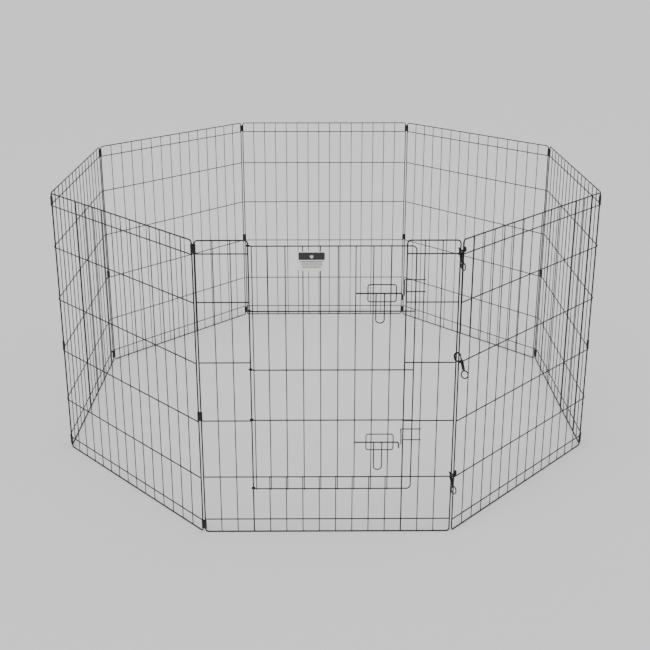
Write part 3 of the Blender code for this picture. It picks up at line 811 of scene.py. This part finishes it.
class PLAYPEN_OT_door(bpy.types.Operator):
    """Builds the door's grille with its hinge eyes, and the two latch guides"""

    bl_idname = "playpen.door"
    bl_label = "Door"

    def execute(self, context):
        depth = Depths()
        hinge = upright_x(LEFT_SPACE)
        left, right = hinge + DOOR_LEFT_GAP, upright_x(RIGHT_SPACE) + DOOR_LAP
        top, bottom = door_top(), door_bottom()
        rungs = [levels()[level] + shift for level, shift in DOOR_CROSSES]
        places = [left] + [door_upright_x(k) for k in range(LEFT_SPACE + 1, RIGHT_SPACE)]

        def outline(form):
            corners = [(hinge, depth.door_y, top), (right, depth.door_y, top)]
            corners += [(right, depth.door_y, bottom), (hinge, depth.door_y, bottom)]
            run = rounded(corners, DOOR_BEND)
            wire(form, door_eye(top)[::-1] + run[1:-1] + door_eye(bottom), depth.cross)

        def cross_wires(form):
            for z in rungs:
                wire(form, door_eye(z)[::-1] + [(right, depth.door_y, z)], depth.cross)

        def uprights(form):
            ends = (bottom - depth.cross, top + depth.cross)
            for x in places:
                wire(form, [(x, depth.door_upright_y, z) for z in ends], depth.upright)

        def guides(form):
            for height in latch_heights().values():
                wire(form, guide_loop(height), depth.fitting, closed=True)
                for space in GUIDE_SPACES:
                    for z in (height - GUIDE_HEIGHT / 2, height + GUIDE_HEIGHT / 2):
                        middle = (depth.guide_y + depth.door_upright_y) / 2
                        bead(form, (door_upright_x(space), middle, z), FITTING_SPREAD)

        between = (depth.door_y + depth.door_upright_y) / 2
        welds = [(x, between, z) for x in places for z in [top, *rungs, bottom]]
        welds += [(right, depth.door_y, z) for z in rungs]
        parts = {
            "outline": form_mesh("door_outline", outline),
            "cross_wires": form_mesh("door_cross_wires", cross_wires),
            "uprights": form_mesh("door_uprights", uprights),
            "guides": form_mesh("door_guides", guides),
            "welds": weld_beads(welds, WELD_SPREAD, SEED + 2),
        }
        for part, mesh in parts.items():
            stands_for = ["door"] if part == "outline" else []
            put(f"door_{part}", mesh, panel_place(1), "door", "black_coating", stands_for)
        return {"FINISHED"}


# --- The latch bolts ---
BOLT_TAIL = 0.0245
BOLT_REACH = 0.0065
BOLT_HOOK = 0.016
BOLT_BEND = 0.005
BOLT_WITHDRAWN = 0.017
LOOP_LENGTH = 0.072
LOOP_WIDTH = 0.0197
LOOP_OFFSET = 0.0024
LOOP_ROUND = 0.9
LOOP_SPREAD = (0.002, 0.0012, 0.0016)


class PLAYPEN_OT_latch_bolts(bpy.types.Operator):
    """Builds the two slide bolts with their turned-down tips and pull loops"""

    bl_idname = "playpen.latch_bolts"
    bl_label = "Latch bolts"

    def execute(self, context):
        size, depth = sizes(), Depths()
        tip = upright_x(RIGHT_SPACE) + BOLT_REACH - BOLT_WITHDRAWN
        tail = door_upright_x(GUIDE_SPACES[0]) - BOLT_TAIL - BOLT_WITHDRAWN
        right = door_upright_x(GUIDE_SPACES[1]) + LOOP_OFFSET - BOLT_WITHDRAWN
        left = right - LOOP_WIDTH
        bolt_y, loop_y = depth.bolt_y, depth.loop_y

        def shank(form):
            run = [(tail, bolt_y, 0), (tip, bolt_y, 0), (tip, bolt_y, -BOLT_HOOK)]
            wire(form, rounded(run, BOLT_BEND), depth.bolt)

        def pull_loop(form):
            run = [(left, loop_y, size.sink), (left, loop_y, -LOOP_LENGTH)]
            run += [(right, loop_y, -LOOP_LENGTH), (right, loop_y, size.sink)]
            wire(form, rounded(run, LOOP_ROUND * LOOP_WIDTH / 2), depth.loop)
            for x in (left, right):
                bead(form, (x, (bolt_y + loop_y) / 2, 0), LOOP_SPREAD)

        meshes = {
            "shank": form_mesh("bolt_shank", shank),
            "pull_loop": form_mesh("bolt_pull_loop", pull_loop),
        }
        for name, height in latch_heights().items():
            body = f"latch_bolt_{name}"
            for part, mesh in meshes.items():
                stands_for = [body] if part == "shank" else []
                place = panel_place(1) @ Matrix.Translation((0, 0, height))
                put(f"{body}_{part}", mesh, place, body, "black_coating", stands_for)
        return {"FINISHED"}


# --- Bolt snaps. Their own frame: X across, Z up the snap, Y towards the pen, origin in the gate ---
SNAPS = {"top": (-1, 90), "middle": (1, 0), "bottom": (-1, 25)}
SNAP_CLEARANCE = 0.00075
HOOK_FLESH = 1.2
SNAP_GATE = 0.0093
BARREL_LENGTH = 0.024
END_WALL = 0.002
PIN_RADIUS = 0.0018
PIN_LENGTH = 0.0185
PIN_TRAVEL = 0.007
KNOB_RADIUS = 0.0024
KNOB_STEM = 0.001
KNOB_DROP = 0.016
HOOK_TIP = -0.0012
COLLAR_RADIUS = 0.0034
COLLAR_LENGTH = 0.0025
EYE_RADIUS = 0.009
EYE_WIRE = 0.003
SPRING_WIRE = 0.0005
SPRING_TURNS = 5
SPRING_SEAT = 0.0018
TURN_STEPS = 16
HOOK_STEPS = 20
HOOK_POINT = 0.86
HOOK_TAPER = 0.02
HOOK_ROOT = 1.1
RING_STEPS = 40
EYE_SWELL = 0.12
PIN_EDGE = 0.0004
STEM_BITE = 0.0008
# Shares of the knob's radius, each with its width, and of the collar's radius, each with its drop
KNOB_SHAPE = ((0, 0.9), (0.15, 1.0), (0.35, 1.0), (0.45, 0.92), (0.55, 1.0), (0.8, 0.97), (1.0, 0.7))
COLLAR_SHAPE = ((0.86, 0), (1, 0.14), (1, 0.4), (0.82, 0.6), (0.86, 0.85), (0.6, 1.15))
# Shares of the barrel's radius, each with its drop from the top or its rise from the end
BARREL_SHOULDER = ((0.86, 0), (1, 0.0006), (1, 0.003), (1.06, 0.0035), (1.06, 0.0042), (1, 0.0047))
BARREL_FOOT = ((1, 0.0045), (1.06, 0.004), (1.06, 0.0012), (0.8, 0))
NECK = ((1.0, 0.6), (0.92, 0.9), (0.62, 1.12), (0.2, 1.25), (-0.2, 1.34), (-0.7, 1.45))


def snap_place(name):
    """The frame of a snap's gate, from the place and the axis that its eye swivels about."""
    joint = JOINTS[f"snap_{name}_swivel"]
    up = -Vector(joint["axis"]).normalized()
    across = Matrix.Rotation(pi / PANEL_COUNT, 3, "Z") @ Vector((1, 0, 0))
    inward = up.cross(across)
    turn = Matrix((across, inward, up)).transposed().to_4x4()
    return Matrix.Translation(joint["pos_m"]) @ turn


def snap_hook(hand):
    """The hook: a forged bow that tapers to its tip, run down into the barrel's shoulder."""
    size, depth = sizes(), Depths()
    gauge = HOOK_FLESH * size.hook_wire / 2
    radius = size.corner / 2 + depth.frame + SNAP_CLEARANCE + gauge
    bow = arc((-hand * radius, 0, 0), hand * radius, 0, 180, HOOK_STEPS)
    bow = [(x - hand * (size.hook_wire / 2 - gauge), y, z) for x, y, z in bow]
    neck = [(-hand * radius - hand * radius * across, 0, -SNAP_GATE * down) for across, down in NECK]
    path = [(bow[0][0], 0, HOOK_TIP), *bow, *neck]
    widths = [min(1, HOOK_POINT + HOOK_TAPER * i) for i in range(len(path) - 1)] + [HOOK_ROOT]
    return form_mesh("snap_hook", lambda form: wire(form, path, gauge, widths=widths))


def snap_barrel():
    """The slotted barrel: a rounded shoulder, a plain wall with the knob's slot, and a closed end."""
    size = sizes()
    top, end = -SNAP_GATE, -SNAP_GATE - BARREL_LENGTH
    bore = PIN_RADIUS + size.gap
    stud = KNOB_STEM + size.gap
    outline = [(bore, top)]
    outline += [(share * size.barrel, top - drop) for share, drop in BARREL_SHOULDER]
    outline += [(share * size.barrel, end + rise) for share, rise in BARREL_FOOT]
    outline += [(stud, end), (stud, end + END_WALL), (bore, end + END_WALL)]
    mesh = form_mesh("snap_barrel", lambda form: turned(form, outline, hollow=True))
    knob = HOOK_TIP - size.gap - KNOB_DROP
    slot_top, slot_low = knob + KNOB_STEM + size.gap, knob - PIN_TRAVEL - KNOB_STEM - size.gap
    wide = 2 * (KNOB_STEM + size.gap)
    rounds = [(wide / 2 * cos(a), wide / 2 * sin(a)) for a in (radians(15 * i) for i in range(13))]
    slot = [(x, slot_top - wide / 2 + z) for x, z in rounds]
    slot += [(-x, slot_low + wide / 2 - z) for x, z in rounds]
    cutter = plate_mesh("slot", [slot], 2 * size.barrel, 0.00001)
    cutter.transform(Matrix.Translation((0, -size.barrel, 0)) @ Matrix.Rotation(pi / 2, 4, "X"))
    return cut_from(mesh, cutter)


def cut_from(mesh, cutter):
    """The mesh with the cutter's form taken out of it."""
    made = []
    for name, data in (("base", mesh), ("cutter", cutter)):
        holder = bpy.data.objects.new(name, data)
        bpy.context.scene.collection.objects.link(holder)
        made.append(holder)
    base, tool = made
    change = base.modifiers.new("cut", "BOOLEAN")
    change.operation = "DIFFERENCE"
    change.solver = "EXACT"
    change.object = tool
    bpy.context.view_layer.update()
    graph = bpy.context.evaluated_depsgraph_get()
    result = bpy.data.meshes.new_from_object(base.evaluated_get(graph))
    for holder in made:
        bpy.data.objects.remove(holder)
    return result


def snap_pin(form):
    """The sprung pin with its stem and its domed, grooved thumb knob."""
    size = sizes()
    top = HOOK_TIP - size.gap
    end, knob = top - PIN_LENGTH, top - KNOB_DROP
    narrow = PIN_RADIUS - PIN_EDGE
    high, low = top - PIN_EDGE, end + PIN_EDGE
    turned(form, [(narrow, top), (PIN_RADIUS, high), (PIN_RADIUS, low), (narrow, end)])
    face = -size.barrel - size.gap
    wire(form, [(0, 0, knob), (0, face - STEM_BITE, knob)], KNOB_STEM)
    path = [(0, face - KNOB_RADIUS * share, knob) for share, _ in KNOB_SHAPE]
    wire(form, path, KNOB_RADIUS, widths=[width for _, width in KNOB_SHAPE])


def snap_spring(form):
    size = sizes()
    radius = PIN_RADIUS - SPRING_WIRE / 2
    low = -SNAP_GATE - BARREL_LENGTH + END_WALL + SPRING_SEAT
    high = HOOK_TIP - PIN_LENGTH - PIN_TRAVEL - 2 * size.gap
    steps = TURN_STEPS * SPRING_TURNS
    coil = []
    for i in range(steps + 1):
        share = i / steps
        turn = 2 * pi * SPRING_TURNS * share
        coil.append((radius * cos(turn), radius * sin(turn), low + (high - low) * share))
    wire(form, coil, SPRING_WIRE / 2)


def snap_eye(form):
    """The swivelling eye: a ring on a waisted collar that turns on the barrel's end."""
    size = sizes()
    top = -SNAP_GATE - BARREL_LENGTH - size.gap
    end = top - COLLAR_LENGTH
    turned(form, [(COLLAR_RADIUS * wide, top - COLLAR_LENGTH * share) for wide, share in COLLAR_SHAPE])
    ring = arc((0, 0, end - EYE_RADIUS), EYE_RADIUS, 0, 360 - 360 / RING_STEPS, RING_STEPS - 1)
    widths = [1 + EYE_SWELL * max(0, sin(2 * pi * i / RING_STEPS)) for i in range(RING_STEPS)]
    wire(form, ring, EYE_WIRE / 2, closed=True, widths=widths)


class PLAYPEN_OT_bolt_snaps(bpy.types.Operator):
    """Builds the three bolt snaps that close the ring of panels"""

    bl_idname = "playpen.bolt_snaps"
    bl_label = "Bolt snaps"

    def execute(self, context):
        hooks = {hand: snap_hook(hand) for hand in (-1, 1)}
        barrel = snap_barrel()
        pin = form_mesh("snap_pin", snap_pin)
        spring = form_mesh("snap_spring", snap_spring)
        eye = form_mesh("snap_eye", snap_eye)
        for name, (hand, turn) in SNAPS.items():
            place, base = snap_place(name), f"snap_{name}"
            put(f"{base}_hook", hooks[hand], place, "panel_8", "snap_metal", [f"{base}_body"])
            put(f"{base}_barrel", barrel, place, "panel_8", "snap_metal")
            put(f"{base}_pin", pin, place, f"{base}_plunger", "snap_metal", [f"{base}_plunger"])
            put(f"{base}_coil", spring, place, "panel_8", "spring_steel", [f"{base}_spring"])
            turned_place = place @ Matrix.Rotation(radians(turn), 4, "Z")
            put(f"{base}_ring", eye, turned_place, f"{base}_eye", "snap_metal", [f"{base}_eye"])
        return {"FINISHED"}


# --- The info tag ---
TAG_THICKNESS = 0.0012
TAG_SPACES = (6, 7)
TAG_CORNER = 0.0025
TAG_EDGE = 0.0002
PRINT = 0.00012
BAND_SHARE = 0.40
BAND_INSET = 0.0012
BAND_CORNER = 0.0016
MARK_DROP = 0.001
PAD_SIZE = (0.0056, 0.0044)
PAD_DROP = 0.0016
TOE_SIZE = (0.0017, 0.0025)
BAR_ROWS = 5
BAR_DROP = 0.0042
BAR_STEP = 0.0036
BAR_SPANS = (0.84, 0.78)
BAR_SHORTER = 0.0015
BAR_TALL = 0.0013
TITLE_TALL = 0.0020
BAR_CORNER = 0.0005
TOES = ((-0.0034, 0.0006, 25), (-0.0013, 0.0026, 8), (0.0013, 0.0026, -8), (0.0034, 0.0006, -25))


def rounded_rectangle(width, height, corner, centre=(0, 0)):
    """A closed outline in a plane, with round corners."""
    x, z = centre
    outline = []
    for i, (right, up) in enumerate(((1, 1), (-1, 1), (-1, -1), (1, -1))):
        cx, cz = x + right * (width / 2 - corner), z + up * (height / 2 - corner)
        turns = [radians(90 * i + 15 * k) for k in range(7)]
        outline += [(cx + corner * cos(a), cz + corner * sin(a)) for a in turns]
    return outline


def ellipse(width, height, centre, lean=0):
    """A closed oval outline, leaning by an angle."""
    turns = [2 * pi * k / 20 for k in range(20)]
    points = [(width / 2 * cos(a), height / 2 * sin(a)) for a in turns]
    c, s = cos(radians(lean)), sin(radians(lean))
    return [(centre[0] + x * c - z * s, centre[1] + x * s + z * c) for x, z in points]


class PLAYPEN_OT_info_tag(bpy.types.Operator):
    """Builds the care tag: a laminated card with a dark band, plain bars and two moulded clips"""

    bl_idname = "playpen.info_tag"
    bl_label = "Care tag"

    def execute(self, context):
        size, depth = sizes(), Depths()
        wide, tall = size.tag_width, size.tag_height
        low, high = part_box("info_tag")
        middle = (low.x + high.x) / 2
        height = (low.z + high.z) / 2
        front = low.y
        standing = Matrix.Rotation(pi / 2, 4, "X")
        card_y = front + TAG_THICKNESS / 2
        place = Matrix.Translation((middle, card_y, height)) @ standing
        card = plate_mesh("tag_card", [rounded_rectangle(wide, tall, TAG_CORNER)], TAG_THICKNESS, TAG_EDGE)
        put("tag_card", card, place, "door", "tag_card", ["info_tag"])

        def printed(name, outlines, where, look):
            mesh = plate_mesh(name, outlines, 2 * PRINT, PRINT / 4)
            put(name, mesh, where, "door", "tag_card", look=look)

        band_tall = BAND_SHARE * tall
        band_z = tall / 2 - BAND_INSET - band_tall / 2
        band = rounded_rectangle(wide - 2 * BAND_INSET, band_tall, BAND_CORNER, (0, band_z))
        print_place = Matrix.Translation((middle, front, height)) @ standing
        printed("tag_band", [band], print_place, "tag_band")

        paw_z = band_z - MARK_DROP
        paw = [ellipse(*PAD_SIZE, (0, paw_z - PAD_DROP))]
        for x, z, lean in TOES:
            paw.append(ellipse(*TOE_SIZE, (x, paw_z + z), lean))
        mark = Matrix.Translation((middle, front - PRINT, height)) @ standing
        printed("tag_mark", paw, mark, "tag_card")

        bars = []
        for row in range(BAR_ROWS):
            z = band_z - band_tall / 2 - BAR_DROP - row * BAR_STEP
            span = wide * BAR_SPANS[row % 2] - row * BAR_SHORTER
            bars.append(rounded_rectangle(span, BAR_TALL if row else TITLE_TALL, BAR_CORNER, (0, z)))
        printed("tag_bars", bars, print_place, "tag_print")

        back = card_y + TAG_THICKNESS / 2
        door_y = FRONT_STILE.y + depth.door_upright_y
        reach = depth.upright + size.gap

        def clip(form):
            for space in TAG_SPACES:
                x = FRONT_STILE.x + door_upright_x(space)
                for side in (-1, 1):
                    jaw = x + side * (reach + 0.0006)
                    path = [(jaw, back - 0.0003, height), (jaw, door_y - 0.0002, height)]
                    path += [(jaw - side * 0.0004, door_y + 0.0010, height)]
                    wire(form, path, 0.0007)
                bead(form, (x, back, height), (0.0027, 0.0004, 0.0024))

        clips = form_mesh("tag_clips", clip)
        put("tag_clips", clips, Matrix.Identity(4), "door", "tag_card", look="tag_card")
        return {"FINISHED"}


# --- The stage ---
FLOOR_REACH = 30
WORLD_STRENGTH = 0.42
CAMERA_PLACE = (-0.019, -2.850, 1.414)
CAMERA_PITCH = 72.91
CAMERA_YAW = -0.35
CAMERA_LENS = 54.24
CAMERA_SHIFT = -0.131
LIGHTS = {
    "soft_key": ((-1.0, -1.6, 2.4), 60, 1.9),
    "soft_fill": ((1.7, -0.4, 2.0), 90, 1.05),
}


class PLAYPEN_OT_stage(bpy.types.Operator):
    """Builds the pale floor, the soft lights and the camera"""

    bl_idname = "playpen.stage"
    bl_label = "Stage"

    def execute(self, context):
        scene = context.scene

        def slab(form):
            bmesh.ops.create_grid(form, x_segments=2, y_segments=2, size=FLOOR_REACH)

        floor = form_mesh("floor", slab)
        floor.materials.append(floor_finish())
        ground = bpy.data.objects.new("floor", floor)
        scene.collection.objects.link(ground)

        world = bpy.data.worlds.new("studio")
        world.use_nodes = True
        world.node_tree.nodes["Background"].inputs["Color"].default_value = (1, 1, 1, 1)
        world.node_tree.nodes["Background"].inputs["Strength"].default_value = WORLD_STRENGTH
        scene.world = world
        for name, (place, spread, power) in LIGHTS.items():
            lamp = bpy.data.lights.new(name, "SUN")
            lamp.angle = radians(spread)
            lamp.energy = power
            holder = bpy.data.objects.new(name, lamp)
            holder.location = place
            holder.rotation_euler = (-Vector(place)).to_track_quat("-Z", "Y").to_euler()
            scene.collection.objects.link(holder)

        camera = bpy.data.cameras.new("camera")
        camera.lens = CAMERA_LENS
        camera.shift_y = CAMERA_SHIFT
        camera.clip_end = 100
        viewer = bpy.data.objects.new("camera", camera)
        viewer.location = CAMERA_PLACE
        viewer.rotation_euler = (radians(CAMERA_PITCH), 0, radians(CAMERA_YAW))
        scene.collection.objects.link(viewer)
        scene.camera = viewer
        return {"FINISHED"}


OPERATORS = (
    PLAYPEN_OT_wire_panels,
    PLAYPEN_OT_door_panel,
    PLAYPEN_OT_hinge_clips,
    PLAYPEN_OT_door,
    PLAYPEN_OT_latch_bolts,
    PLAYPEN_OT_bolt_snaps,
    PLAYPEN_OT_info_tag,
    PLAYPEN_OT_stage,
)


class PLAYPEN_PT_panel(bpy.types.Panel):
    """Lists the playpen's pieces, sizes and colours"""

    bl_idname = "PLAYPEN_PT_panel"
    bl_label = "Wire playpen"
    bl_space_type = "VIEW_3D"
    bl_region_type = "UI"
    bl_category = "Playpen"

    def draw(self, context):
        for operator in OPERATORS:
            self.layout.operator(operator.bl_idname)
        for group in (context.scene.playpen_sizes, context.scene.playpen_looks):
            box = self.layout.box()
            for name in group.bl_rna.properties.keys():
                if name not in ("rna_type", "name"):
                    box.prop(group, name)


CLASSES = (PenSizes, PenLooks, *OPERATORS, PLAYPEN_PT_panel)


def register():
    for kind in CLASSES:
        bpy.utils.register_class(kind)
    bpy.types.Scene.playpen_sizes = PointerProperty(type=PenSizes)
    bpy.types.Scene.playpen_looks = PointerProperty(type=PenLooks)


def unregister():
    del bpy.types.Scene.playpen_looks
    del bpy.types.Scene.playpen_sizes
    for kind in reversed(CLASSES):
        bpy.utils.unregister_class(kind)


def main():
    register()
    for operator in OPERATORS:
        group, name = operator.bl_idname.split(".")
        getattr(getattr(bpy.ops, group), name)()
    bpy.context.view_layer.update()


if __name__ == "__main__":
    main()
